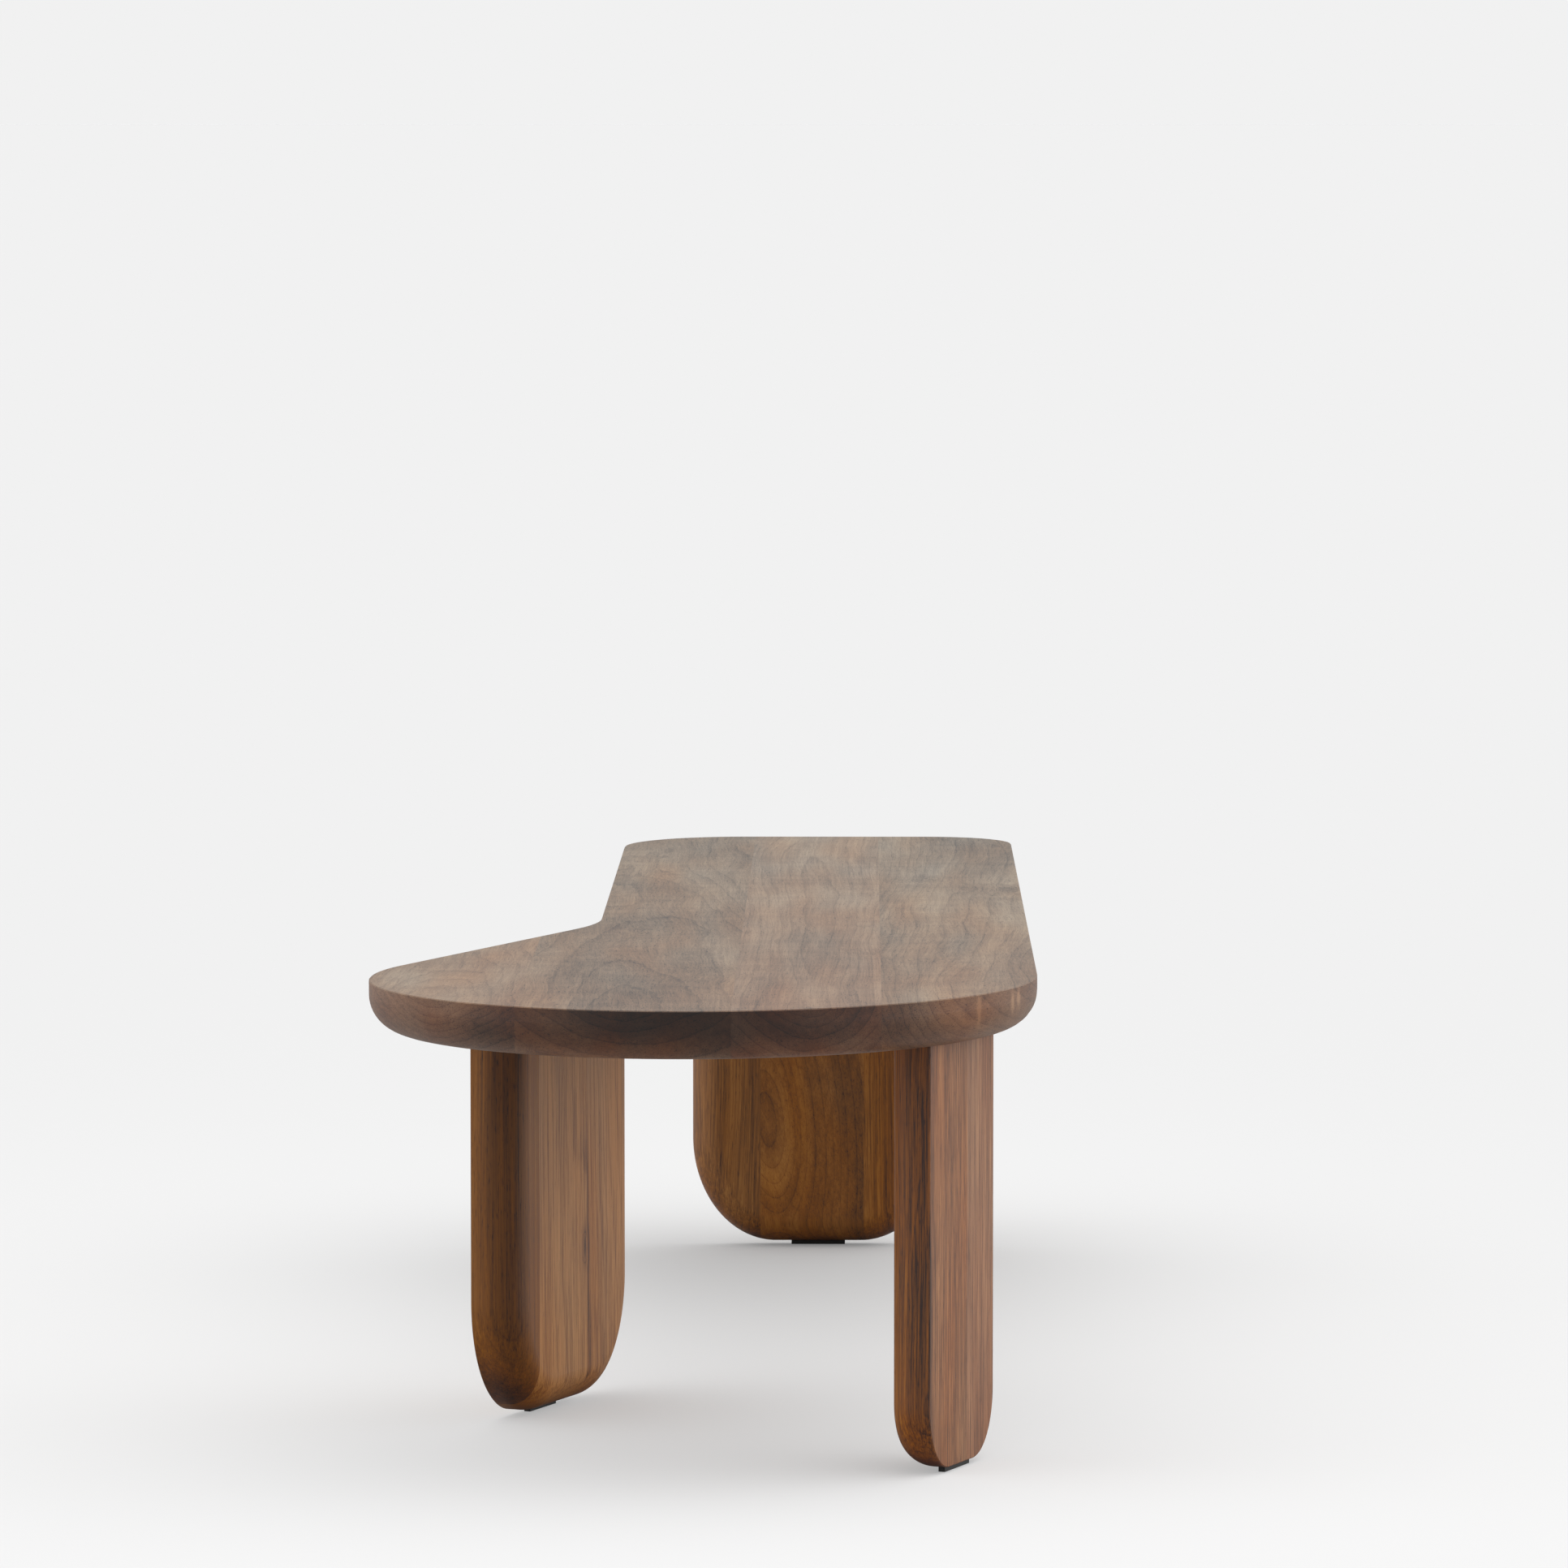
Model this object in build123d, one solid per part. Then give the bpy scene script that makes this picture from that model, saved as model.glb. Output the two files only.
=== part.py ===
from build123d import *
import math
import os

# Bench with a glued-up walnut top on three slab legs.
# Millimetres. +Y runs from the wide rounded near end to the narrow far end, +X is to the right,
# +Z is up. The origin is on the floor, under the middle of the top's box.

# ---- overall sizes ----
total_length = 1650.0
total_height = 400.0
far_width = 380.0

# ---- outline of the top ----
right_arc_radius = 300.0        # near end, right-hand arc
left_arc_radius = 264.0         # near end, left-hand arc
arc_change_angle = 80.6         # turn of the right-hand arc before the left-hand one takes over
arm_angle = 23.0                # slanted left side, measured from the long axis
kink_radius = 255.0             # inward bend between the slanted side and the straight one
far_left_radius = 117.0
far_right_radius = 80.0

# ---- section of the top ----
top_thickness = 42.0
under_round = 30.0              # quarter round from the underside up to the edge
arris = 0.8                     # small chamfer that eases each sharp edge
stave_widths = (131.0, 121.5, 175.5)    # from the right side; the left stave takes the rest

# ---- loose tongues in the glue joints ----
tongue_thickness = 6.0
tongue_depth = 11.5             # into each stave
tongue_clearance = 0.1          # slot to tongue, on every side
tongue_below_top = 15.0         # top surface to the middle of the tongue
tongue_end_stop = 65.0          # outline to the tongue's end

# ---- legs ----
leg_thickness = 42.0
leg_round = 30.0                # quarter round along the inner face
wide_leg_width = 248.0
wide_corner_across = 82.0       # half-ellipse corners at the foot
wide_corner_up = 103.0
narrow_leg_width = 138.0
narrow_corner_across = 43.0
narrow_corner_up = 54.0
back_leg_inset = 55.0           # far edge of the top to the leg's outer face
left_leg_inset = 37.5           # slanted side to the leg's outer face
left_leg_start = 56.0           # start of the slanted side to the leg
right_leg_inset = 39.0          # right-hand arc to the leg's outer face, square to that face
right_leg_shift = -11.0         # along the leg's width, from the arc's centre
back_leg_seams = (67.0, 169.0)  # glue lines, from the leg's left side
left_leg_seams = (49.0, 146.0)  # glue lines, from the leg's near side
right_leg_seams = (58.0,)       # glue line, from the leg's far side
leg_tongue_foot_gap = 10.0      # above the curve of the foot
leg_tongue_head_gap = 75.0      # below the leg's head, clear of the screws

# ---- glides and their pins ----
glide_length = 53.0
glide_width = 6.0
glide_height = 4.5
glide_setback = 4.0             # behind the leg's outer face
glide_edge = 0.5
pin_spacing = 36.0
pin_radius = 0.9
pin_head_radius = 1.8
pin_head_height = 1.2
pin_head_recess = 1.0           # above the floor
pin_length = 17.0
pin_clearance = 0.05

# ---- mounting plates ----
plate_thickness = 4.0
plate_setback = 10.0            # behind the leg's outer face
plate_overhang = 44.0           # past the leg's inner face
plate_side_margin = 30.0        # in from each side of the leg
plate_corner = 6.0
recess_clearance = 0.5

# ---- countersunk screws, plate to leg ----
screw_spacing = 54.0
screw_radius = 3.0
screw_head_radius = 5.8
screw_length = 60.0
screw_tip = 6.0
screw_clearance = 0.05

# ---- machine bolts and threaded inserts, plate to top ----
bolt_row_gap = 30.0             # leg's inner face to the row of bolts
bolt_radius = 3.0
bolt_head_radius = 5.25
bolt_head_height = 3.3
bolt_socket_across = 4.0
bolt_socket_depth = 2.0
bolt_length = 14.0
bolt_hole_clearance = 0.3       # through the plate
thread_clearance = 0.05         # bolt to insert, and insert to wood
insert_radius = 5.0
insert_length = 12.0
insert_hole_spare = 1.0         # room above the insert

# ---- places worked out from the sizes above ----
change = math.radians(arc_change_angle)
slant = math.radians(arm_angle)
radius_step = right_arc_radius - left_arc_radius
total_width = right_arc_radius - radius_step * math.cos(change) + left_arc_radius
right_x = total_width / 2
left_x = -total_width / 2
near_y = -total_length / 2
far_y = total_length / 2
far_left_x = right_x - far_width
far_middle_x = right_x - far_width / 2
underside_z = total_height - top_thickness
leg_height = underside_z - glide_height
bolt_row_y = -leg_thickness - bolt_row_gap      # in a leg's own frame, outer face at y = 0

along_arm = Vector(math.sin(slant), math.cos(slant))        # from the near end to the far end
away_from_arm = Vector(math.cos(slant), -math.sin(slant))   # to the right of the slanted side
left_arc_centre = Vector(left_x + left_arc_radius, near_y + left_arc_radius)
right_arc_centre = left_arc_centre + Vector(-math.cos(change), math.sin(change)) * radius_step
arm_start = left_arc_centre - away_from_arm * left_arc_radius
arm_length = (far_left_x - arm_start.X) / along_arm.X
arm_end = arm_start + along_arm * arm_length


def top_outline():
    """The top seen from above: two arcs, the slanted side, the inward bend and the far end."""
    side_start = right_arc_centre + Vector(right_arc_radius, 0)
    far_left = Vector(far_left_x, far_y)
    far_right = Vector(right_x, far_y)
    edges = [
        CenterArc(right_arc_centre, right_arc_radius, 0, -arc_change_angle),
        CenterArc(left_arc_centre, left_arc_radius, -arc_change_angle, arc_change_angle - 180 - arm_angle),
        Line(arm_start, arm_end),
        Line(arm_end, far_left),
        Line(far_left, far_right),
        Line(far_right, side_start),
    ]
    outline = make_face(edges)
    for corner, radius in (
        (arm_end, kink_radius),
        (far_left, far_left_radius),
        (far_right, far_right_radius),
    ):
        outline = fillet(outline.vertices().sort_by_distance(corner)[0], radius)
    return outline


def top_slab(outline):
    """The whole top before it is parted into staves: sharp upper edge, large round underneath."""
    slab = extrude(Pos(0, 0, underside_z) * outline, top_thickness)
    slab = fillet(slab.faces().sort_by(Axis.Z)[0].edges(), under_round)
    return chamfer(slab.faces().sort_by(Axis.Z)[-1].edges(), arris)


def between(shape, low_x, high_x):
    """The part of a shape that lies between two planes across X."""
    box = shape.bounding_box()
    middle = (low_x + high_x) / 2
    slice_box = Pos(middle, box.center().Y, box.center().Z) * Box(
        high_x - low_x, box.size.Y + 2, box.size.Z + 2
    )
    return shape & slice_box


def top_tongue(outline, seam_x, spare):
    """One loose tongue of the top, or its slot when spare is the slot's clearance."""
    line = outline & Pos(seam_x, 0) * Rectangle(tongue_thickness, 2 * total_length)
    reach = line.bounding_box()
    length = reach.size.Y - 2 * tongue_end_stop
    blank = Box(2 * (tongue_depth + spare), length + 2 * spare, tongue_thickness + 2 * spare)
    return Pos(seam_x, reach.center().Y, total_height - tongue_below_top) * blank


def leg_profile(width, across, up):
    """The leg's outer face: straight sides down to half-ellipse corners and a flat foot."""
    side = width / 2
    flat = side - across
    edges = [
        Line((-side, leg_height), (side, leg_height)),
        Line((side, leg_height), (side, up)),
        EllipticalCenterArc((flat, up), across, up, start_angle=270, arc_size=90),
        Line((flat, 0), (-flat, 0)),
        EllipticalCenterArc((-flat, up), across, up, start_angle=180, arc_size=90),
        Line((-side, up), (-side, leg_height)),
    ]
    return make_face(edges)


def rim_of(face):
    """The edges round a leg's face, without the one at its head."""
    return [edge for edge in face.edges() if edge.center().Z < leg_height - arris]


def leg_slab(width, across, up):
    """A whole leg before it is parted into staves, with its outer face at y = 0."""
    slab = extrude(Plane.XZ * leg_profile(width, across, up), leg_thickness)
    tightest_curve = across**2 / up
    round_radius = min(leg_round, 0.9 * tightest_curve, 0.9 * leg_thickness)
    slab = fillet(rim_of(slab.faces().sort_by(Axis.Y)[0]), round_radius)
    return chamfer(rim_of(slab.faces().sort_by(Axis.Y)[-1]), arris)


def leg_tongue(seam_x, corner_up, spare):
    """One loose tongue of a leg, or its slot when spare is the slot's clearance."""
    low = corner_up + leg_tongue_foot_gap
    high = leg_height - leg_tongue_head_gap
    blank = Box(2 * (tongue_depth + spare), tongue_thickness + 2 * spare, high - low + 2 * spare)
    return Pos(seam_x, -leg_thickness / 2, (low + high) / 2) * blank


def row_of(count, spacing):
    """Places along X, centred on the leg."""
    return [(i - (count - 1) / 2) * spacing for i in range(count)]


def upright(radius, low, high):
    """A cylinder on the Z axis between two heights."""
    return Pos(0, 0, (low + high) / 2) * Cylinder(radius, high - low)


def plate_blank(width, spare):
    """The plate's outline raised to its thickness, or its recess when spare is the clearance."""
    size_x = width - 2 * plate_side_margin + 2 * spare
    size_y = leg_thickness - plate_setback + plate_overhang + 2 * spare
    middle_y = -(plate_setback + leg_thickness + plate_overhang) / 2
    sketch = Pos(0, middle_y, leg_height) * RectangleRounded(size_x, size_y, plate_corner + spare)
    return extrude(sketch, plate_thickness)


def screw(x, spare):
    """A countersunk screw down into the leg, or its hole when spare is the clearance."""
    radius = screw_radius + spare
    head_radius = screw_head_radius + spare
    head_height = head_radius - radius
    top_z = leg_height + plate_thickness
    profile = Polyline(
        (0, top_z),
        (head_radius, top_z),
        (radius, top_z - head_height),
        (radius, top_z - screw_length + screw_tip),
        (0, top_z - screw_length - spare),
        close=True,
    )
    return Pos(x, -leg_thickness / 2) * revolve(Plane.XZ * make_face(profile), Axis.Z)


def bolt(x):
    """A socket button-head bolt that points up through the plate into its insert."""
    head = upright(bolt_head_radius, leg_height - bolt_head_height, leg_height)
    head = fillet(head.edges().sort_by(Axis.Z)[0], bolt_head_height / 2)
    shank = upright(bolt_radius, leg_height, leg_height + bolt_length)
    socket_sketch = RegularPolygon(bolt_socket_across / 2, 6, major_radius=False)
    socket = extrude(Pos(0, 0, leg_height - bolt_head_height) * socket_sketch, bolt_socket_depth)
    return Pos(x, bolt_row_y) * (head + shank - socket)


def insert(x):
    """A threaded insert: a sleeve let into the underside of the top."""
    low = leg_height + plate_thickness
    sleeve = upright(insert_radius, low, low + insert_length)
    bore = upright(bolt_radius + thread_clearance, low, low + insert_length)
    return Pos(x, bolt_row_y) * (sleeve - bore)


def insert_hole(x):
    """The blind hole for an insert, with a little room above it."""
    low = leg_height + plate_thickness
    hole = upright(insert_radius + thread_clearance, low, low + insert_length + insert_hole_spare)
    return Pos(x, bolt_row_y) * hole


def glide():
    """A low strip under the flat of the foot."""
    strip = Box(glide_length, glide_width, glide_height)
    strip = fillet(strip.edges().filter_by(Axis.Z), glide_edge)
    strip = Pos(0, -glide_setback - glide_width / 2, -glide_height / 2) * strip
    for x in row_of(2, pin_spacing):
        strip = strip - pin(x, pin_clearance)
    return strip


def pin(x, spare):
    """A headed pin up through the glide, or its hole, open at the floor, when spare is the clearance."""
    low = pin_head_recess - glide_height
    mouth = -glide_height if spare else low
    head = upright(pin_head_radius + spare, mouth, low + pin_head_height + spare)
    shank = upright(pin_radius + spare, mouth, low + pin_length + spare)
    return Pos(x, -glide_setback - glide_width / 2) * (head + shank)


def leg_place(centre, turn):
    """From a leg's own frame (outer face at y = 0, foot at z = 0) to its place under the top."""
    return Location((centre.X, centre.Y, glide_height), (0, 0, turn))


def named_staves(prefix, slab, seams, ends, names, cutters):
    """Parts a slab at its glue lines, names each stave and makes its slots, recesses and holes."""
    planes = [ends[0], *seams, ends[1]]
    staves = {}
    for name, low, high in zip(names, planes[:-1], planes[1:]):
        stave = between(slab, low, high)
        for cutter in cutters:
            stave = stave - cutter
        staves[f"{prefix}_{name}"] = stave
    return staves


def put_in_place(piece, place):
    """Moves one piece, or a list of identical ones that share a node, to the leg's place."""
    if isinstance(piece, list):
        return Compound(children=[place * solid for solid in piece])
    return place * piece


def build_leg(name, width, across, up, seam_distances, stave_names, place, bolt_count):
    """All pieces of one leg, in place, and the cutters for the underside of the top."""
    side = width / 2
    seams = [distance - side for distance in seam_distances]
    screws = row_of(bolt_count, screw_spacing)
    pins = row_of(2, pin_spacing)
    leg_cutters = [leg_tongue(seam, up, tongue_clearance) for seam in seams]
    leg_cutters += [screw(x, screw_clearance) for x in screws]
    leg_cutters += [pin(x, pin_clearance) for x in pins]

    plate = plate_blank(width, 0)
    for x in screws:
        plate = plate - screw(x, screw_clearance)
        bolt_hole = upright(bolt_radius + bolt_hole_clearance, leg_height, leg_height + plate_thickness)
        plate = plate - Pos(x, bolt_row_y) * bolt_hole

    slab = leg_slab(width, across, up)
    ends = (-side - 1, side + 1)
    pieces = named_staves(f"{name}_leg_stave", slab, seams, ends, stave_names, leg_cutters)
    pieces[f"{name}_leg_tongues"] = [leg_tongue(seam, up, 0) for seam in seams]
    pieces[f"{name}_plate"] = plate
    pieces[f"{name}_leg_screws"] = [screw(x, 0) for x in screws]
    pieces[f"{name}_bolts"] = [bolt(x) for x in screws]
    pieces[f"{name}_inserts"] = [insert(x) for x in screws]
    pieces[f"{name}_glide"] = glide()
    pieces[f"{name}_glide_pins"] = [pin(x, 0) for x in pins]
    top_cutters = [plate_blank(width, recess_clearance)] + [insert_hole(x) for x in screws]
    placed = {key: put_in_place(piece, place) for key, piece in pieces.items()}
    return placed, [place * cutter for cutter in top_cutters]


wide = (wide_leg_width, wide_corner_across, wide_corner_up)
narrow = (narrow_leg_width, narrow_corner_across, narrow_corner_up)
back_middle = Vector(far_middle_x, far_y - back_leg_inset)
left_middle = arm_start + along_arm * (left_leg_start + wide_leg_width / 2) + away_from_arm * left_leg_inset
right_middle = (
    right_arc_centre
    + away_from_arm * (right_arc_radius - right_leg_inset)
    + along_arm * right_leg_shift
)
legs = (
    ("back", *wide, back_leg_seams, ("left", "middle", "right"), leg_place(back_middle, 0), 4),
    ("left", *wide, left_leg_seams, ("near", "middle", "far"), leg_place(left_middle, 90 - arm_angle), 4),
    ("right", *narrow, right_leg_seams, ("far", "near"), leg_place(right_middle, -90 - arm_angle), 2),
)

parts = {}
top_cutters = []
for leg in legs:
    leg_parts, leg_top_cutters = build_leg(*leg)
    parts.update(leg_parts)
    top_cutters += leg_top_cutters

outline = top_outline()
right_seam = right_x - stave_widths[0]
centre_seam = right_seam - stave_widths[1]
left_seam = centre_seam - stave_widths[2]
seam_places = {"left": left_seam, "centre": centre_seam, "right": right_seam}
for seam_name, seam_x in seam_places.items():
    top_cutters.append(top_tongue(outline, seam_x, tongue_clearance))
    parts[f"top_tongue_{seam_name}"] = top_tongue(outline, seam_x, 0)
parts.update(named_staves(
    "top_stave", top_slab(outline), list(seam_places.values()), (left_x - 1, right_x + 1),
    ("left", "centre_left", "centre_right", "right"), top_cutters,
))

os.makedirs("parts", exist_ok=True)
for name, part in parts.items():
    export_step(part, f"parts/{name}.step")
print(f"{len(parts)} nodes, {total_width:.1f} x {total_length:.1f} x {total_height:.1f} mm")
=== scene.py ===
# %% [markdown]
# # A walnut bench on three slab legs
# The bench is solid walnut: a top glued up from four boards, three slab legs glued up from narrower
# boards, and a few pieces of steel, brass and beech that hold it together. Every piece already has its
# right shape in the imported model, so this lesson gives each one its finish, and then sets up a camera,
# a pale floor and soft light to look at it.

# %% Load the model
import math

import bpy
from mathutils import Euler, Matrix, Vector


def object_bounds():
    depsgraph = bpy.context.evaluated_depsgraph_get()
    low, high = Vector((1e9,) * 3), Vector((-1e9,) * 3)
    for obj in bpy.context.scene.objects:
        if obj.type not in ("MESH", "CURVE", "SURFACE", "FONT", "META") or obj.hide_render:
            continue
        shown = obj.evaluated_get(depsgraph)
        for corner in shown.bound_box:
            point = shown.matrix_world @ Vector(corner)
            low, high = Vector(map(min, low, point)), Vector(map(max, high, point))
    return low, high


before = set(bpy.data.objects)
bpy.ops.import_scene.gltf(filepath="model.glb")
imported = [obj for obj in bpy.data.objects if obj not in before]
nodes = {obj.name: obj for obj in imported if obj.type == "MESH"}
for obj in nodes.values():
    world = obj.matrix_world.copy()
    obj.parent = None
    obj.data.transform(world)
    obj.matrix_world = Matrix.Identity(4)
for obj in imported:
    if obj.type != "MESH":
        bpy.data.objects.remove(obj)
cad_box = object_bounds()
bpy.ops.object.select_all(action="DESELECT")
print("pieces", len(nodes), "box", cad_box)

# %% [markdown]
# ## Colours and nodes
# Colours are easiest to pick as sRGB hex values, the way paint and web colours are written, but the
# renderer works with linear light. One function turns the first into the second. A second small
# function adds a shader node, sets its properties and links or fills its inputs. Patterns are sized in
# millimetres, as a maker measures them, and the scene is in metres.

# %% Colour and node helpers
MM = 0.001


def linear(hex_colour):
    """An sRGB hex colour as a linear RGBA tuple."""
    channels = [int(hex_colour[i:i + 2], 16) / 255 for i in (1, 3, 5)]
    return (*[c / 12.92 if c <= 0.04045 else ((c + 0.055) / 1.055) ** 2.4 for c in channels], 1.0)


def add_node(tree, kind, settings=(), inputs=()):
    """Adds a node. Settings are its own properties; inputs are values, or sockets to link."""
    node = tree.nodes.new(kind)
    for name, value in dict(settings).items():
        setattr(node, name, value)
    for key, value in dict(inputs).items():
        if isinstance(value, bpy.types.NodeSocket):
            tree.links.new(value, node.inputs[key])
        else:
            node.inputs[key].default_value = value
    return node


print("half-way grey is", round(linear("#808080")[0], 3), "of white in linear light")

# %% [markdown]
# ## The camera
# The bench is seen from its rounded end, from a little above, with a long lens from far away. A long
# lens keeps the legs upright and squeezes the length of the top into a narrow band.

# %% Camera
CAMERA_ASIDE = 0.1316  # metres to the right of the bench's middle
CAMERA_AWAY = 6.845  # metres from the rounded end
CAMERA_HEIGHT = 1.126
LOOKS_DOWN = 4.533  # degrees
LOOKS_LEFT = 0.52
near_end = cad_box[0][1]
camera_data = bpy.data.cameras.new("camera")
camera_data.lens = 196.6
camera_data.sensor_width = 36
camera_data.clip_end = 500
camera = bpy.data.objects.new("camera", camera_data)
bpy.context.scene.collection.objects.link(camera)
camera.location = (CAMERA_ASIDE, near_end - CAMERA_AWAY, CAMERA_HEIGHT)
camera.rotation_euler = (math.radians(90 - LOOKS_DOWN), 0, math.radians(LOOKS_LEFT))
bpy.context.scene.camera = camera
print("camera", [round(value, 3) for value in camera.location])

# %% [markdown]
# ## Light
# The bench stands in a white studio. A large lamp at each side and one overhead give most of the light,
# a weak one stands behind, and almost none comes from where the camera stands. That is why the faces
# turned to the camera are the darkest and the round edges show so well. Area lamps could do this, but
# it takes many of them to be as soft. Here a dome of light round the scene does it: its brightness in
# each direction is a weak even light plus a soft spot for each lamp. What the camera sees behind the
# bench is plain white, without the lamps.

# %% Light
BACKDROP = linear("#F1F1F1")
DOME_EVEN = 0.27
LAMPS = (
    # direction, brightness, tightness
    ((-0.95, -0.12, 0.12), 1.75, 7.0),
    ((0.95, 0.15, 0.10), 2.25, 7.0),
    ((0.05, 0.95, 0.30), 0.35, 4.0),
    ((0.10, -0.10, 1.00), 1.70, 8.0),
)
lamps = [(Vector(aim).normalized(), strength, tightness) for aim, strength, tightness in LAMPS]
bpy.context.scene.view_settings.view_transform = "Standard"
world = bpy.data.worlds.new("studio")
bpy.context.scene.world = world
world.use_nodes = True
sky = world.node_tree
sky.nodes.clear()
direction = add_node(sky, "ShaderNodeTexCoord").outputs["Generated"]
brightness = DOME_EVEN
for aim, strength, tightness in lamps:
    facing = add_node(sky, "ShaderNodeVectorMath", {"operation": "DOT_PRODUCT"}, {0: direction, 1: aim})
    closeness = add_node(sky, "ShaderNodeMath", {"operation": "MULTIPLY_ADD", "use_clamp": True}, {
        0: facing.outputs["Value"], 1: 0.5, 2: 0.5})
    spot = add_node(sky, "ShaderNodeMath", {"operation": "POWER"}, {
        0: closeness.outputs[0], 1: tightness})
    brightness = add_node(sky, "ShaderNodeMath", {"operation": "MULTIPLY_ADD"}, {
        0: spot.outputs[0], 1: strength, 2: brightness}).outputs[0]
dome = add_node(sky, "ShaderNodeBackground", {}, {"Color": (1, 1, 1, 1), "Strength": brightness})
backdrop = add_node(sky, "ShaderNodeBackground", {}, {"Color": BACKDROP, "Strength": 1.0})
seen = add_node(sky, "ShaderNodeLightPath").outputs["Is Camera Ray"]
sky_mix = add_node(sky, "ShaderNodeMixShader", {}, {0: seen, 1: dome.outputs[0], 2: backdrop.outputs[0]})
add_node(sky, "ShaderNodeOutputWorld", {}, {"Surface": sky_mix.outputs[0]})
print("lamps", len(lamps), "total strength", sum(strength for aim, strength, tightness in lamps))

# %% [markdown]
# ## Light on the floor
# A white studio floor runs into the white background with no visible line. That only works if the
# floor looks exactly as bright as the background. So the light that falls on it is added up first, over
# small patches of the dome, each one counted by how steeply it shines down.

# %% Light on the floor
RISE_STEPS = 60
TURN_STEPS = 4 * RISE_STEPS
RISE_STEP = math.pi / 2 / RISE_STEPS
TURN_STEP = 2 * math.pi / TURN_STEPS
floor_light = 0.0
for i in range(RISE_STEPS):
    rise = (i + 0.5) * RISE_STEP
    for j in range(TURN_STEPS):
        turned = (j + 0.5) * TURN_STEP
        ray = Vector((math.cos(rise) * math.cos(turned), math.cos(rise) * math.sin(turned), math.sin(rise)))
        level = DOME_EVEN + sum(
            strength * (0.5 + 0.5 * ray.dot(aim)) ** tightness for aim, strength, tightness in lamps)
        floor_light += level * ray.z * math.cos(rise) * RISE_STEP * TURN_STEP / math.pi
print("light on the floor", round(floor_light, 3))

# %% [markdown]
# ## Knots, pools and other soft spots
# Several things fade out softly round a middle: a pool of light on the floor, a knot or a fleck in the
# wood. They all use one bell-shaped spot, stretched as needed along X, Y and Z. A second helper adds
# a share of such a pattern to a running total, which is how all the patterns here are put together.

# %% Spots and shares
def soft_spot(tree, position, centre, reach):
    """1 at the centre in metres, falling off like a bell. Reach is in millimetres along X, Y, Z."""
    away = add_node(tree, "ShaderNodeVectorMath", {"operation": "SUBTRACT"}, {0: position, 1: centre})
    away = add_node(tree, "ShaderNodeVectorMath", {"operation": "DIVIDE"}, {
        0: away.outputs[0], 1: [length * MM for length in reach]})
    square = add_node(tree, "ShaderNodeVectorMath", {"operation": "DOT_PRODUCT"}, {
        0: away.outputs[0], 1: away.outputs[0]})
    return add_node(tree, "ShaderNodeMath", {"operation": "POWER"}, {
        0: math.exp(-1), 1: square.outputs["Value"]}).outputs[0]


def add_share(tree, total, source, share, middle=0.5):
    """Adds a share of source to a running total. A source at its middle value changes nothing."""
    shifted = add_node(tree, "ShaderNodeMath", {"operation": "SUBTRACT"}, {0: source, 1: middle})
    return add_node(tree, "ShaderNodeMath", {"operation": "MULTIPLY_ADD"}, {
        0: shifted.outputs[0], 1: share, 2: total}).outputs[0]


print("a soft spot one reach away is", round(math.exp(-1), 2))

# %% [markdown]
# ## The floor
# The floor is a very large plane, so that its edge is never seen. Its paint is matt, and as bright as
# it must be for the light added up above. A part of the brightness is painted light: a glow that only
# the camera sees. It keeps the shadows under the bench pale, standing in for light thrown back by white
# studio walls. The glow is a painted pool of light round the near end, and weaker under the far leg, a
# painted shadow where the shadow is deepest.

# %% Floor
FLOOR_GLOW = 0.28
# painted light and painted shadow on the floor, seen only by the camera
GLOW_POOLS = (
    # centre in metres, reach in millimetres, extra glow
    ((0.0, -0.5, 0.0), 1700, 0.10),
    ((0.05, -0.2, 0.0), 350, 0.06),
    ((0.0, 0.66, 0.0), 380, -0.14),
)
bpy.ops.mesh.primitive_plane_add(size=2000, location=(0, 0, 0))
floor = bpy.context.object
floor.name = "floor"
floor_paint = bpy.data.materials.new("matt_white_studio_floor")
floor_paint.use_nodes = True
floor_tree = floor_paint.node_tree
floor_shader = floor_tree.nodes["Principled BSDF"].inputs
paint = (1 - FLOOR_GLOW) * BACKDROP[0] / floor_light
floor_shader["Base Color"].default_value = (paint, paint, paint, 1)
floor_shader["Roughness"].default_value = 1.0
floor_shader["Specular IOR Level"].default_value = 0.0
floor_shader["Emission Color"].default_value = BACKDROP
floor_place = add_node(floor_tree, "ShaderNodeTexCoord").outputs["Object"]
glow = FLOOR_GLOW
for centre, reach, extra in GLOW_POOLS:
    pool = soft_spot(floor_tree, floor_place, centre, (reach, reach, reach))
    glow = add_share(floor_tree, glow, pool, extra, 0.0)
seen = add_node(floor_tree, "ShaderNodeLightPath").outputs["Is Camera Ray"]
glow = add_node(floor_tree, "ShaderNodeMath", {"operation": "MULTIPLY"}, {0: seen, 1: glow}).outputs[0]
floor_tree.links.new(glow, floor_shader["Emission Strength"])
floor.data.materials.append(floor_paint)
print("floor paint reflects", round(paint, 3))
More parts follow.
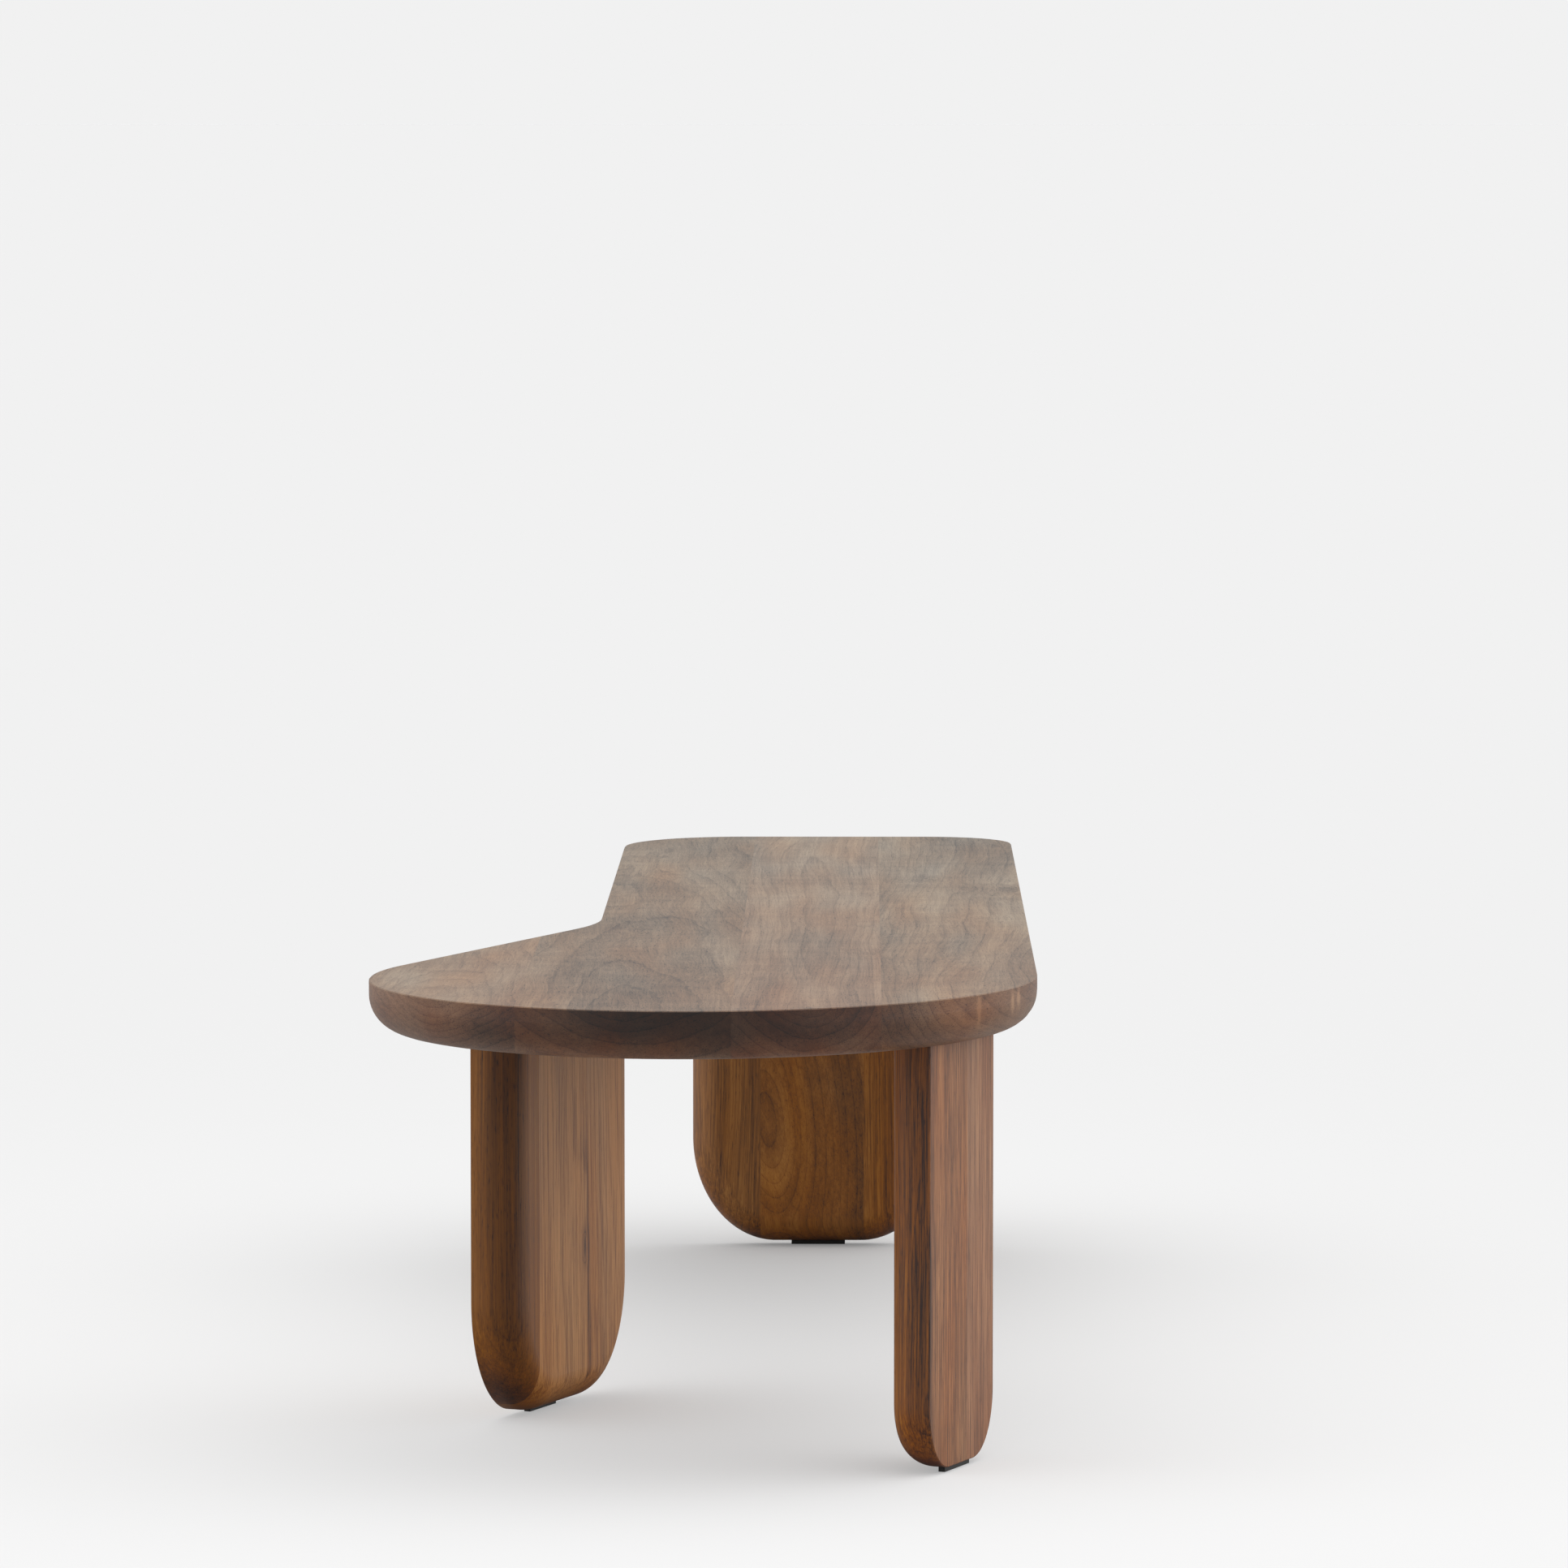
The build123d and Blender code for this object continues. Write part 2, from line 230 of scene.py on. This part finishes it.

# %% [markdown]
# ## Walnut
# Wood is a stack of cones: each year adds one layer round the pith, so a growth ring is a surface at
# an even distance from the pith. A pattern built from that distance is right on every face at once: it
# draws long lines on a face along the grain, pointed arches where the face cuts the rings at a slant,
# and arcs on the end grain. A flat wood picture can't do that, so the pattern is built in three
# dimensions, with the pith given for each board.
#
# Walnut has brown heartwood with slow changes between warm and greyish brown. The table holds how
# strongly each part of the pattern shows on an ordinary board; a board may then differ.

# %% Walnut colours and looks
WALNUT_DARK = "#2A170F"
WALNUT_MIDDLE = "#7F5431"
WALNUT_LIGHT = "#AC7C4E"
WALNUT_LOOK = {
    "ring": 6.0,  # mean width of a year's ring, in millimetres
    "wander": 10.0,  # how far the pith strays along the trunk, in millimetres
    "tone": 0.0,  # darker below 0, lighter above
    "hue": 0.5,  # 0.5 is the colour as picked, less is redder
    "saturation": 1.0,
    "value": 1.0,
    "bands": 0.80,  # the next seven say how much each pattern changes the shade
    "lines": 0.40,
    "fibre": 0.42,
    "stripe": 0.22,
    "cloud": 0.25,
    "figure": 0.0,
    "pore": 0.16,
    "patchy": 0.25,  # how much the hue and saturation drift
    "end_dark": 0.68,  # how much darker the end grain is
    "sheen_tint": (0.0, 0.0, 0.0),  # painted sheen on the sheen side: less colour, hue, less brightness
    "sheen_side": (0, 0, 1),  # the way that side looks
}
for colour_name in (WALNUT_DARK, WALNUT_MIDDLE, WALNUT_LIGHT):
    print("walnut", colour_name, [round(channel, 3) for channel in linear(colour_name)[:3]])

# %% [markdown]
# ## The distance from the pith
# A tree never grows quite straight. The board's own coordinates are bent by three random fields, one
# slow and two finer, before the distance from the pith is taken. A knot pushes the rings aside, so
# each mark adds a small bulge to the distance.

# %% Distance from the pith
PITH_RIPPLES = (
    # across and along in millimetres, share of the wander
    (110, 500, 1.0),
    (30, 130, 0.16),
    (8, 35, 0.045),
)


def random_field(tree, vector, size, detail=1.0, roughness=0.5):
    """Soft random values from 0 to 1. Size is the distance between spots along X, Y, Z in mm."""
    spread = add_node(tree, "ShaderNodeVectorMath", {"operation": "DIVIDE"}, {
        0: vector, 1: [length * MM for length in size]})
    return add_node(tree, "ShaderNodeTexNoise", {}, {
        "Vector": spread.outputs[0], "Scale": 1.0, "Detail": detail, "Roughness": roughness}).outputs


def pith_distance(tree, board, own, wander, bulges):
    """The board's place after bending, and how far that is from the pith."""
    bent = board
    for across, along, share in PITH_RIPPLES:
        swing = 4 * share * wander * MM
        field = random_field(tree, own, (across, across, along))["Color"]
        offset = add_node(tree, "ShaderNodeVectorMath", {"operation": "MULTIPLY_ADD"}, {
            0: field, 1: (swing, swing, 0), 2: (-swing / 2, -swing / 2, 0)})
        bent = add_node(tree, "ShaderNodeVectorMath", {"operation": "ADD"}, {
            0: bent, 1: offset.outputs[0]}).outputs[0]
    flat = add_node(tree, "ShaderNodeVectorMath", {"operation": "MULTIPLY"}, {0: bent, 1: (1, 1, 0)})
    radius = add_node(tree, "ShaderNodeVectorMath", {"operation": "LENGTH"}, {0: flat.outputs[0]})
    radius = radius.outputs["Value"]
    for spot, bulge in bulges:
        radius = add_share(tree, radius, spot, bulge * MM, 0.0)
    return bent, radius


print("finest ripple every", PITH_RIPPLES[-1][0], "mm")

# %% [markdown]
# ## Rings and bands
# A year's ring in walnut is a few millimetres wide. It starts light and ends in a thin dark line, drawn
# by a colour ramp that repeats once a year. Good and bad years differ in width, so a random field
# shifts the count of years. Bands several rings wide follow the rings as well and fade along the trunk.

# %% Rings and bands
LATE_WOOD_RAMP = ((0.10, 0.57), (0.55, 0.51), (0.88, 0.42), (0.955, 0.0), (0.985, 0.20))
WIDTH_DRIFT = 6.0  # years by which the count drifts
BAND_YEARS = 4.5
DRIFT_YEARS = 9


def rings_and_bands(tree, radius, along, ring, seed):
    """The shade of the wide bands, and of the lines that end each year."""
    place = add_node(tree, "ShaderNodeCombineXYZ", {}, {0: radius, 1: seed, 2: along}).outputs[0]
    bands = random_field(tree, place, (BAND_YEARS * ring, 1000, 600), 2.0, 0.6)[0]
    drift = random_field(tree, place, (DRIFT_YEARS * ring, 1000, 1500))[0]
    years = add_node(tree, "ShaderNodeMath", {"operation": "DIVIDE"}, {0: radius, 1: ring * MM})
    years = add_share(tree, years.outputs[0], drift, WIDTH_DRIFT)
    part = add_node(tree, "ShaderNodeMath", {"operation": "FRACT"}, {0: years})
    late_wood = add_node(tree, "ShaderNodeValToRGB", {}, {"Fac": part.outputs[0]})
    ramp = late_wood.color_ramp
    ramp.interpolation = "B_SPLINE"
    for element in ramp.elements:
        element.color = (0.5, 0.5, 0.5, 1)
    for position, level in LATE_WOOD_RAMP:
        ramp.elements.new(position).color = (level, level, level, 1)
    return bands, late_wood.outputs[0]


print("a band is about", BAND_YEARS * WALNUT_LOOK["ring"], "mm wide")

# %% [markdown]
# ## Fibres, pores and figure
# Fibres are long and thin, and pores show as short dark dashes. Real pores are 0.2 mm wide and too
# fine to show, so they are drawn four times as wide. Stripes and clouds are slower changes. Where the
# grain weaves in and out of a board, faint bars run across it: this is called figure.

# %% Fibres, pores and figure
FIBRES = (1.5, 1.5, 100)
STRIPES = (5, 5, 500)
PORES = (0.8, 0.8, 9)
CLOUDS = (60, 60, 200)
FIGURE = (80, 80, 25)
PATCHES = (50, 50, 280)
PORE_STARTS = 0.58  # where in its random field a pore begins
PORE_IS_DEEP = 0.74  # and where it is darkest


def fine_grain(tree, bent, own):
    """The fibres, pores, stripes, clouds and figure bars, each as a field from 0 to 1."""
    pores = add_node(tree, "ShaderNodeMapRange", {}, {
        "Value": random_field(tree, bent, PORES)[0], "From Min": PORE_STARTS, "From Max": PORE_IS_DEEP})
    return {
        "fibre": random_field(tree, bent, FIBRES, 3.0, 0.65)[0],
        "stripe": random_field(tree, bent, STRIPES)[0],
        "pore": pores.outputs[0],
        "cloud": random_field(tree, own, CLOUDS, 2.0)[0],
        "figure": random_field(tree, own, FIGURE, 2.0)[0],
    }


print("pores", PORES[0], "mm wide and", PORES[2], "mm long")

# %% [markdown]
# ## End grain and painted sheen
# Two more things depend on the way a face looks. Where a face cuts across the fibres it is end grain,
# which soaks up more oil and turns darker. And a painted sheen, the grey of the oil's reflection painted
# into the colour, turns the wood greyer on the side that faces a given way, more so towards the far end.

# %% End grain and painted sheen
SHEEN_MIDDLE = 0.75  # how strong the painted sheen is in the middle of the bench
SHEEN_SLOPE = 0.35  # and how much stronger a metre further along


def end_share(tree, normal, turn):
    """1 on a face square across the grain, 0 on a face along it."""
    grain = Euler(turn).to_matrix() @ Vector((0, 0, 1))
    facing = add_node(tree, "ShaderNodeVectorMath", {"operation": "DOT_PRODUCT"}, {0: normal, 1: grain})
    return add_node(tree, "ShaderNodeMath", {"operation": "MULTIPLY"}, {
        0: facing.outputs["Value"], 1: facing.outputs["Value"]}).outputs[0]


def painted_sheen_share(tree, place, sheen_side):
    """How much painted sheen a face gets: all of it on the sheen side, none on the far side."""
    facing = add_node(tree, "ShaderNodeVectorMath", {"operation": "DOT_PRODUCT"}, {
        0: place["Normal"], 1: sheen_side})
    facing = add_node(tree, "ShaderNodeMath", {"operation": "MAXIMUM"}, {0: facing.outputs["Value"], 1: 0.0})
    bench_place = add_node(tree, "ShaderNodeSeparateXYZ", {}, {0: place["Object"]})
    sheen_level = add_share(tree, SHEEN_MIDDLE, bench_place.outputs["Y"], SHEEN_SLOPE, 0.0)
    return add_node(tree, "ShaderNodeMath", {"operation": "MULTIPLY"}, {
        0: facing.outputs[0], 1: sheen_level}).outputs[0]


print("daylight at the near end", round(SHEEN_MIDDLE + SHEEN_SLOPE * near_end, 2))

# %% [markdown]
# ## The shade of the wood
# All the patterns are added up to one shade from dark to light, each by its own share. On end grain
# the fibres are seen end on and the sanded face is smooth, so they show less there, and the rings
# show more. A streak is a dark layer along the rings: on the far board of the left leg a few years in
# which the tree stored more colour, and on the near boards of the left and right legs a painted shade.

# %% Shade
FIBRE_LOSS = 0.8  # the part of the fibre pattern that end grain loses
PORE_MEAN = 0.1  # the pores' own mean, taken off so that they don't darken the whole board


def wood_shade(tree, look, fields, spots, radius, streaks, end_grain):
    """One shade from 0, dark, to 1, light."""
    fibre = add_share(tree, look["fibre"], end_grain, -FIBRE_LOSS * look["fibre"], 0.0)
    shares = {"bands": look["bands"], "lines": look["lines"], "fibre": fibre, "stripe": look["stripe"],
              "cloud": look["cloud"], "figure": look["figure"]}
    shade = 0.5 + look["tone"]
    for pattern, share in shares.items():
        shade = add_share(tree, shade, fields[pattern], share)
    shade = add_share(tree, shade, fields["pore"], -look["pore"], PORE_MEAN)
    for spot, mark_shade in spots:
        shade = add_share(tree, shade, spot, mark_shade, 0.0)
    # streaks: dark layers of wood, and on two leg boards a painted shade
    for middle, half_width, depth in streaks:
        offset = add_node(tree, "ShaderNodeMath", {"operation": "MULTIPLY_ADD"}, {
            0: radius, 1: 1 / (half_width * MM), 2: -middle / half_width})
        square = add_node(tree, "ShaderNodeMath", {"operation": "MULTIPLY"}, {
            0: offset.outputs[0], 1: offset.outputs[0]})
        streak = add_node(tree, "ShaderNodeMath", {"operation": "POWER"}, {
            0: math.exp(-1), 1: square.outputs[0]})
        shade = add_share(tree, shade, streak.outputs[0], -depth, 0.0)
    contrast = add_node(tree, "ShaderNodeMath", {"operation": "MULTIPLY"}, {
        0: add_share(tree, -0.5, shade, 1.0, 0.0), 1: end_grain})
    return add_share(tree, shade, contrast.outputs[0], 1.0, 0.0)


print("fibres on end grain show", round(1 - FIBRE_LOSS, 2), "as much")

# %% [markdown]
# ## Walnut, sanded and oiled
# Now the material. The shade picks a brown from a ramp of three colours, and slow patches, end grain
# and the painted sheen tint it. Hardwax oil leaves the wood open: it has a soft sheen and the pores stay as
# tiny grooves, which a bump makes from the fibres and pores. Its roughness is about a half, and its
# IOR is that of a drying oil.

# %% Walnut material
END_RICHER = 0.20  # end grain has more colour
END_REDDER = -0.014  # and a slightly redder hue
PATCH_HUE = -0.06  # patches with more colour are redder too
SEED_SHIFT = (1.0, 1.7, 0.6)  # metres along X, Y, Z by which a seed of 1 moves the random fields
GROOVE_DEPTH = 0.15  # millimetres
GROOVE_STRENGTH = 0.30
OIL_IOR = 1.46
OIL_ROUGHNESS = 0.50


def walnut(name, pith, turn, seed, streaks=(), marks=(), **changes):
    """
    Walnut, sanded and oiled. pith is a point on the pith in metres; turn carries Z to the grain.
    streaks: distance from the pith and half width in millimetres, and depth.
    marks: place in metres, reach and bulge of the rings in millimetres, and shade.
    changes are the values of WALNUT_LOOK that this board has differently.
    """
    look = {**WALNUT_LOOK, **changes}
    material = bpy.data.materials.new(name)
    material.use_nodes = True
    tree = material.node_tree
    tree.nodes.clear()
    place = add_node(tree, "ShaderNodeTexCoord").outputs
    board = add_node(tree, "ShaderNodeMapping", {"vector_type": "TEXTURE"}, {
        "Vector": place["Object"], "Location": pith, "Rotation": turn}).outputs[0]
    own = add_node(tree, "ShaderNodeVectorMath", {"operation": "ADD"}, {
        0: board, 1: [shift * seed for shift in SEED_SHIFT]}).outputs[0]
    spots = [soft_spot(tree, place["Object"], centre, reach) for centre, reach, bulge, mark_shade in marks]
    bulges = [(spot, mark[2]) for spot, mark in zip(spots, marks)]
    mark_shades = [(spot, mark[3]) for spot, mark in zip(spots, marks)]
    bent, radius = pith_distance(tree, board, own, look["wander"], bulges)
    along = add_node(tree, "ShaderNodeSeparateXYZ", {}, {0: board}).outputs["Z"]
    bands, lines = rings_and_bands(tree, radius, along, look["ring"], seed)
    fields = {"bands": bands, "lines": lines, **fine_grain(tree, bent, own)}
    end_grain = end_share(tree, place["Normal"], turn)
    painted_sheen = painted_sheen_share(tree, place, look["sheen_side"])
    shade = wood_shade(tree, look, fields, mark_shades, radius, streaks, end_grain)

    colour = add_node(tree, "ShaderNodeValToRGB", {}, {"Fac": shade})
    stops = colour.color_ramp.elements
    stops[0].position = 0.05
    stops[0].color = linear(WALNUT_DARK)
    stops[1].position = 0.95
    stops[1].color = linear(WALNUT_LIGHT)
    stops.new(0.5).color = linear(WALNUT_MIDDLE)
    # painted sheen: the side that faces the given way is painted greyer, and more so towards the far end
    less_colour, sheen_tint_hue, less_bright = look["sheen_tint"]
    patches = random_field(tree, own, PATCHES)[0]
    hue = add_share(tree, look["hue"], patches, PATCH_HUE * look["patchy"])
    hue = add_share(tree, hue, painted_sheen, sheen_tint_hue, 0.0)
    hue = add_share(tree, hue, end_grain, END_REDDER, 0.0)
    saturation = add_share(tree, look["saturation"], patches, look["patchy"])
    saturation = add_share(tree, saturation, painted_sheen, -less_colour, 0.0)
    saturation = add_share(tree, saturation, end_grain, END_RICHER, 0.0)
    value = add_share(tree, look["value"], end_grain, -look["end_dark"] * look["value"], 0.0)
    value = add_share(tree, value, painted_sheen, -less_bright, 0.0)
    tint = add_node(tree, "ShaderNodeHueSaturation", {}, {
        "Color": colour.outputs[0], "Hue": hue, "Saturation": saturation, "Value": value})
    height = add_node(tree, "ShaderNodeMath", {"operation": "SUBTRACT"}, {
        0: fields["fibre"], 1: fields["pore"]})
    bump = add_node(tree, "ShaderNodeBump", {}, {
        "Strength": GROOVE_STRENGTH, "Distance": GROOVE_DEPTH * MM, "Height": height.outputs[0]})
    shader = add_node(tree, "ShaderNodeBsdfPrincipled", {}, {
        "Base Color": tint.outputs[0], "Roughness": OIL_ROUGHNESS, "IOR": OIL_IOR,
        "Normal": bump.outputs[0]})
    add_node(tree, "ShaderNodeOutputMaterial", {}, {"Surface": shader.outputs[0]})
    return material


def dress(node_name, material):
    """Gives a piece of the model one material."""
    mesh = nodes[node_name].data
    mesh.materials.clear()
    mesh.materials.append(material)
    print(node_name, "is", material.name, "with", len(material.node_tree.nodes), "nodes")


print("oiled walnut has roughness", OIL_ROUGHNESS, "and IOR", OIL_IOR)

# %% [markdown]
# ## The top
# Four boards, with the grain along the bench. The pith of each log ran above the board, so the end
# grain at the rounded end shows the rings as wide smiles. The upper face is painted a little greyer
# than the legs: a painted sheen.

# %% Top boards
ALONG_BENCH = -90  # degrees about X, which lays the grain along Y
# the sheen tint paints the upper face greyer: a painted sheen
TOP_LOOK = {"saturation": 0.86, "value": 0.84, "lines": 0.32, "bands": 0.75, "fibre": 0.62,
            "figure": 0.22, "end_dark": 0.87, "pore": 0.34, "patchy": 0.50, "sheen_tint": (0.24, 0.024, 0.0)}
TOP_BOARDS = (
    # name, pith (x, z), rise and swing of the pith, ring, wander, seed, tone, hue
    ("left", (-0.215, 0.470), (1.0, -1.5), 10.0, 11, 3.1, 0.00, 0.497),
    ("centre_left", (-0.057, 0.500), (1.5, 0.8), 11.0, 12, 7.4, -0.07, 0.499),
    ("centre_right", (0.087, 0.418), (0.4, -0.3), 8.5, 7, 12.9, 0.03, 0.495),
    ("right", (0.320, 0.470), (1.2, -1.0), 10.0, 11, 18.2, 0.00, 0.499),
)
TOP_MARKS = {"right": (
    # two small knots in the upper face, and three pale flecks in the rounded end
    ((0.230, 0.257, 0.400), (11, 36, 30), 26, -0.18),
    ((0.268, 0.250, 0.400), (10, 32, 30), 24, -0.18),
    ((0.228, -0.690, 0.388), (1.6, 12, 12), 0, 0.45),
    ((0.2565, -0.640, 0.388), (1.3, 12, 9), 0, 0.50),
    ((0.2615, -0.622, 0.391), (1.5, 12, 8), 0, 0.50),
)}
for name, (x, z), (rise, swing), ring, wander, seed, tone, hue in TOP_BOARDS:
    turn = (math.radians(ALONG_BENCH + rise), 0, math.radians(swing))
    look = {**TOP_LOOK, "ring": ring, "wander": wander, "tone": tone, "hue": hue}
    marks = TOP_MARKS.get(name, ())
    wood = walnut(f"walnut_top_{name}_oiled", (x, near_end, z), turn, seed, marks=marks, **look)
    dress(f"top_stave_{name}", wood)

# %% [markdown]
# ## The legs
# The grain runs up the legs, because a leg with the grain across would snap. Most of these boards
# were sawn with the rings square to the face, which gives straight, fine stripes. The middle board of
# the far leg is different: a knot close by bent the pith, and it comes out of the face at a slant, so
# the rings make long ovals round that place.

# %% How the legs look
LEG_LOOK = {"lines": 0.5, "bands": 0.7, "fibre": 1.6, "stripe": 0.30, "pore": 0.20}
# Outer faces are painted greyer, and on the back and left legs darker too: a painted sheen and shade.
OUTER_FACES = {
    # leg: the way its outer face looks, and its painted sheen there: less colour, hue, less brightness
    "back": ((0, 1, 0), (0.30, 0.010, 0.10)),
    "left": ((-0.921, 0.391, 0), (0.30, 0.010, 0.10)),
    "right": ((0.921, -0.391, 0), (0.32, 0.0, 0.0)),
}
PIN_KNOT = ((-0.108, -0.307, 0.140), (6, 6, 16), 7, -0.45)
DARK_FOOT = ((-0.172, -0.412, 0.025), (36, 36, 42), 0, -0.23)
LEG_MARKS = {
    "left_leg_stave_near": (DARK_FOOT,),
    "left_leg_stave_middle": (PIN_KNOT,),
    "left_leg_stave_far": (PIN_KNOT,),
}
LEG_STREAKS = {
    # painted shade along the rounded edge
    "left_leg_stave_near": ((130, 7, 0.34),),
    "left_leg_stave_far": ((266, 1.5, 0.40),),
    # painted shade on the narrow flat edge
    "right_leg_stave_near": ((98, 9, 0.34),),
}
print("leg boards with marks or streaks", sorted({*LEG_MARKS, *LEG_STREAKS}))

# %% [markdown]
# Each board comes from its own place in the log, so it has its own pith, lean and ring width. The
# boards of one leg are chosen to match, and still differ a little in tone and colour.

# %% Leg boards
LEG_BOARDS = (
    # name, pith (x, y, z), lean about X and Y, ring, wander, seed, what else differs
    ("back_leg_stave_left", (-0.16, 0.70, 0.1), (0.5, 1), 5.0, 6, 21.0,
     {"tone": -0.03, "saturation": 1.14, "lines": 0.3, "fibre": 1.1}),
    ("back_leg_stave_middle", (0.040, 0.729, 0.123), (19, -5), 7.0, 2, 25.0,
     {"tone": 0.02, "hue": 0.501, "saturation": 1.12, "lines": 0.38, "bands": 1.3, "fibre": 0.5}),
    ("back_leg_stave_right", (0.30, 0.70, 0.1), (0.5, -1), 5.0, 6, 29.0,
     {"tone": -0.03, "saturation": 1.14, "lines": 0.3, "fibre": 1.1}),
    ("left_leg_stave_near", (-0.211, -0.303, 0.1), (0.3, 0), 4.0, 2, 33.0,
     {"tone": 0.05, "hue": 0.499, "saturation": 1.18, "lines": 0.2, "bands": 0.3, "fibre": 0.7}),
    ("left_leg_stave_middle", (-0.25, -0.25, 0.1), (0.6, 0.5), 3.5, 3, 37.0,
     {"tone": 0.24, "saturation": 1.06, "value": 1.17}),
    ("left_leg_stave_far", (-0.28, -0.10, 0.1), (0.4, 0.3), 3.5, 3, 41.0,
     {"tone": 0.24, "hue": 0.499, "saturation": 1.06, "value": 1.12}),
    ("right_leg_stave_near", (0.149, -0.794, 0.1), (0.5, 0.5), 4.0, 5, 45.0,
     {"tone": 0.02, "hue": 0.494, "saturation": 1.19, "lines": 0.35}),
    ("right_leg_stave_far", (0.08, -0.45, 0.1), (0.4, -0.5), 3.5, 3, 49.0,
     {"tone": 0.08, "hue": 0.493, "saturation": 1.13, "lines": 0.4}),
)
for name, pith, (lean_x, lean_y), ring, wander, seed, differs in LEG_BOARDS:
    turn = (math.radians(lean_x), math.radians(lean_y), 0)
    sheen_side, sheen_tint = OUTER_FACES[name.split("_")[0]]
    look = {**LEG_LOOK, "ring": ring, "wander": wander, "sheen_side": sheen_side, "sheen_tint": sheen_tint, **differs}
    streaks = LEG_STREAKS.get(name, ())
    marks = LEG_MARKS.get(name, ())
    wood = walnut(f"walnut_{name}_oiled", pith, turn, seed, streaks, marks, **look)
    dress(name, wood)

# %% [markdown]
# ## Glides, plates and fixings
# Small parts don't need a pattern of their own each. One function makes a material of two close shades
# in soft spots, and the same spots change the gloss and the relief a little. What differs is the
# colour, the size of the spots and the shine.

# %% Mottled material
GLOSS_CHANGE = 0.15  # by how much the spots change the roughness
RELIEF_STRENGTH = 0.5


def mottled(name, dark, light, size, roughness, metallic=0.0, ior=1.5, relief=0.02):
    """A material of two close shades. size is how far apart the spots lie along X, Y, Z in mm."""
    material = bpy.data.materials.new(name)
    material.use_nodes = True
    tree = material.node_tree
    tree.nodes.clear()
    place = add_node(tree, "ShaderNodeTexCoord").outputs["Object"]
    spots = random_field(tree, place, size, 3.0, 0.6)[0]
    colour = add_node(tree, "ShaderNodeValToRGB", {}, {"Fac": spots})
    for stop, (position, shade) in zip(colour.color_ramp.elements, ((0.3, dark), (0.7, light))):
        stop.position = position
        stop.color = linear(shade)
    gloss = add_share(tree, roughness, spots, GLOSS_CHANGE)
    bump = add_node(tree, "ShaderNodeBump", {}, {
        "Strength": RELIEF_STRENGTH, "Distance": relief * MM, "Height": spots})
    shader = add_node(tree, "ShaderNodeBsdfPrincipled", {}, {
        "Base Color": colour.outputs[0], "Roughness": gloss, "Metallic": metallic, "IOR": ior,
        "Normal": bump.outputs[0]})
    add_node(tree, "ShaderNodeOutputMaterial", {}, {"Surface": shader.outputs[0]})
    return material


print("spots change the roughness by up to", GLOSS_CHANGE / 2)

# %% [markdown]
# Each leg stands on a strip of nylon. It comes out of a mould with a fine spark-eroded skin, which
# breaks up the shine. The plates between legs and top are steel with black powder paint: the powder
# melts in an oven and sets with a slight orange peel. Screws, bolts and pins are steel with a thin
# zinc layer, brightest where the crystals happen to lie flat. The inserts are turned brass, with fine
# rings round them from the tool. The tongues inside the glue joints are planed beech, which shows
# small dark flecks along the grain. Real mould grain, turning rings and flecks are finer than a view
# of the whole bench can show, so all of these are drawn a few times coarser.

# %% Small parts
nylon = mottled("black_nylon_moulded", "#12110E", "#1B1916", (0.6, 0.6, 0.6), 0.55, ior=1.53)
powder_paint = mottled("black_powder_paint_on_steel", "#161616", "#202020", (1.2, 1.2, 1.2), 0.50)
zinc = mottled("zinc_plated_steel", "#A9ADB0", "#C6C8C8", (1.5, 1.5, 1.5), 0.35, metallic=1.0)
brass = mottled("brass_turned", "#B5883E", "#CDA35B", (4.0, 4.0, 0.3), 0.32, metallic=1.0)
beech = mottled("beech_planed", "#B58A61", "#D3AE84", (3.0, 0.8, 3.0), 0.60)
for leg in ("back", "left", "right"):
    dress(f"{leg}_glide", nylon)
    dress(f"{leg}_plate", powder_paint)
    dress(f"{leg}_inserts", brass)
    dress(f"{leg}_leg_tongues", beech)
    for fixing in ("leg_screws", "bolts", "glide_pins"):
        dress(f"{leg}_{fixing}", zinc)
for seam in ("left", "centre", "right"):
    dress(f"top_tongue_{seam}", beech)
finishes = ("walnut", "nylon", "powder", "zinc", "brass", "beech")
bare = [name for name, node in nodes.items()
        if not any(finish in slot.name for slot in node.data.materials for finish in finishes)]
print("pieces without a finish:", bare)
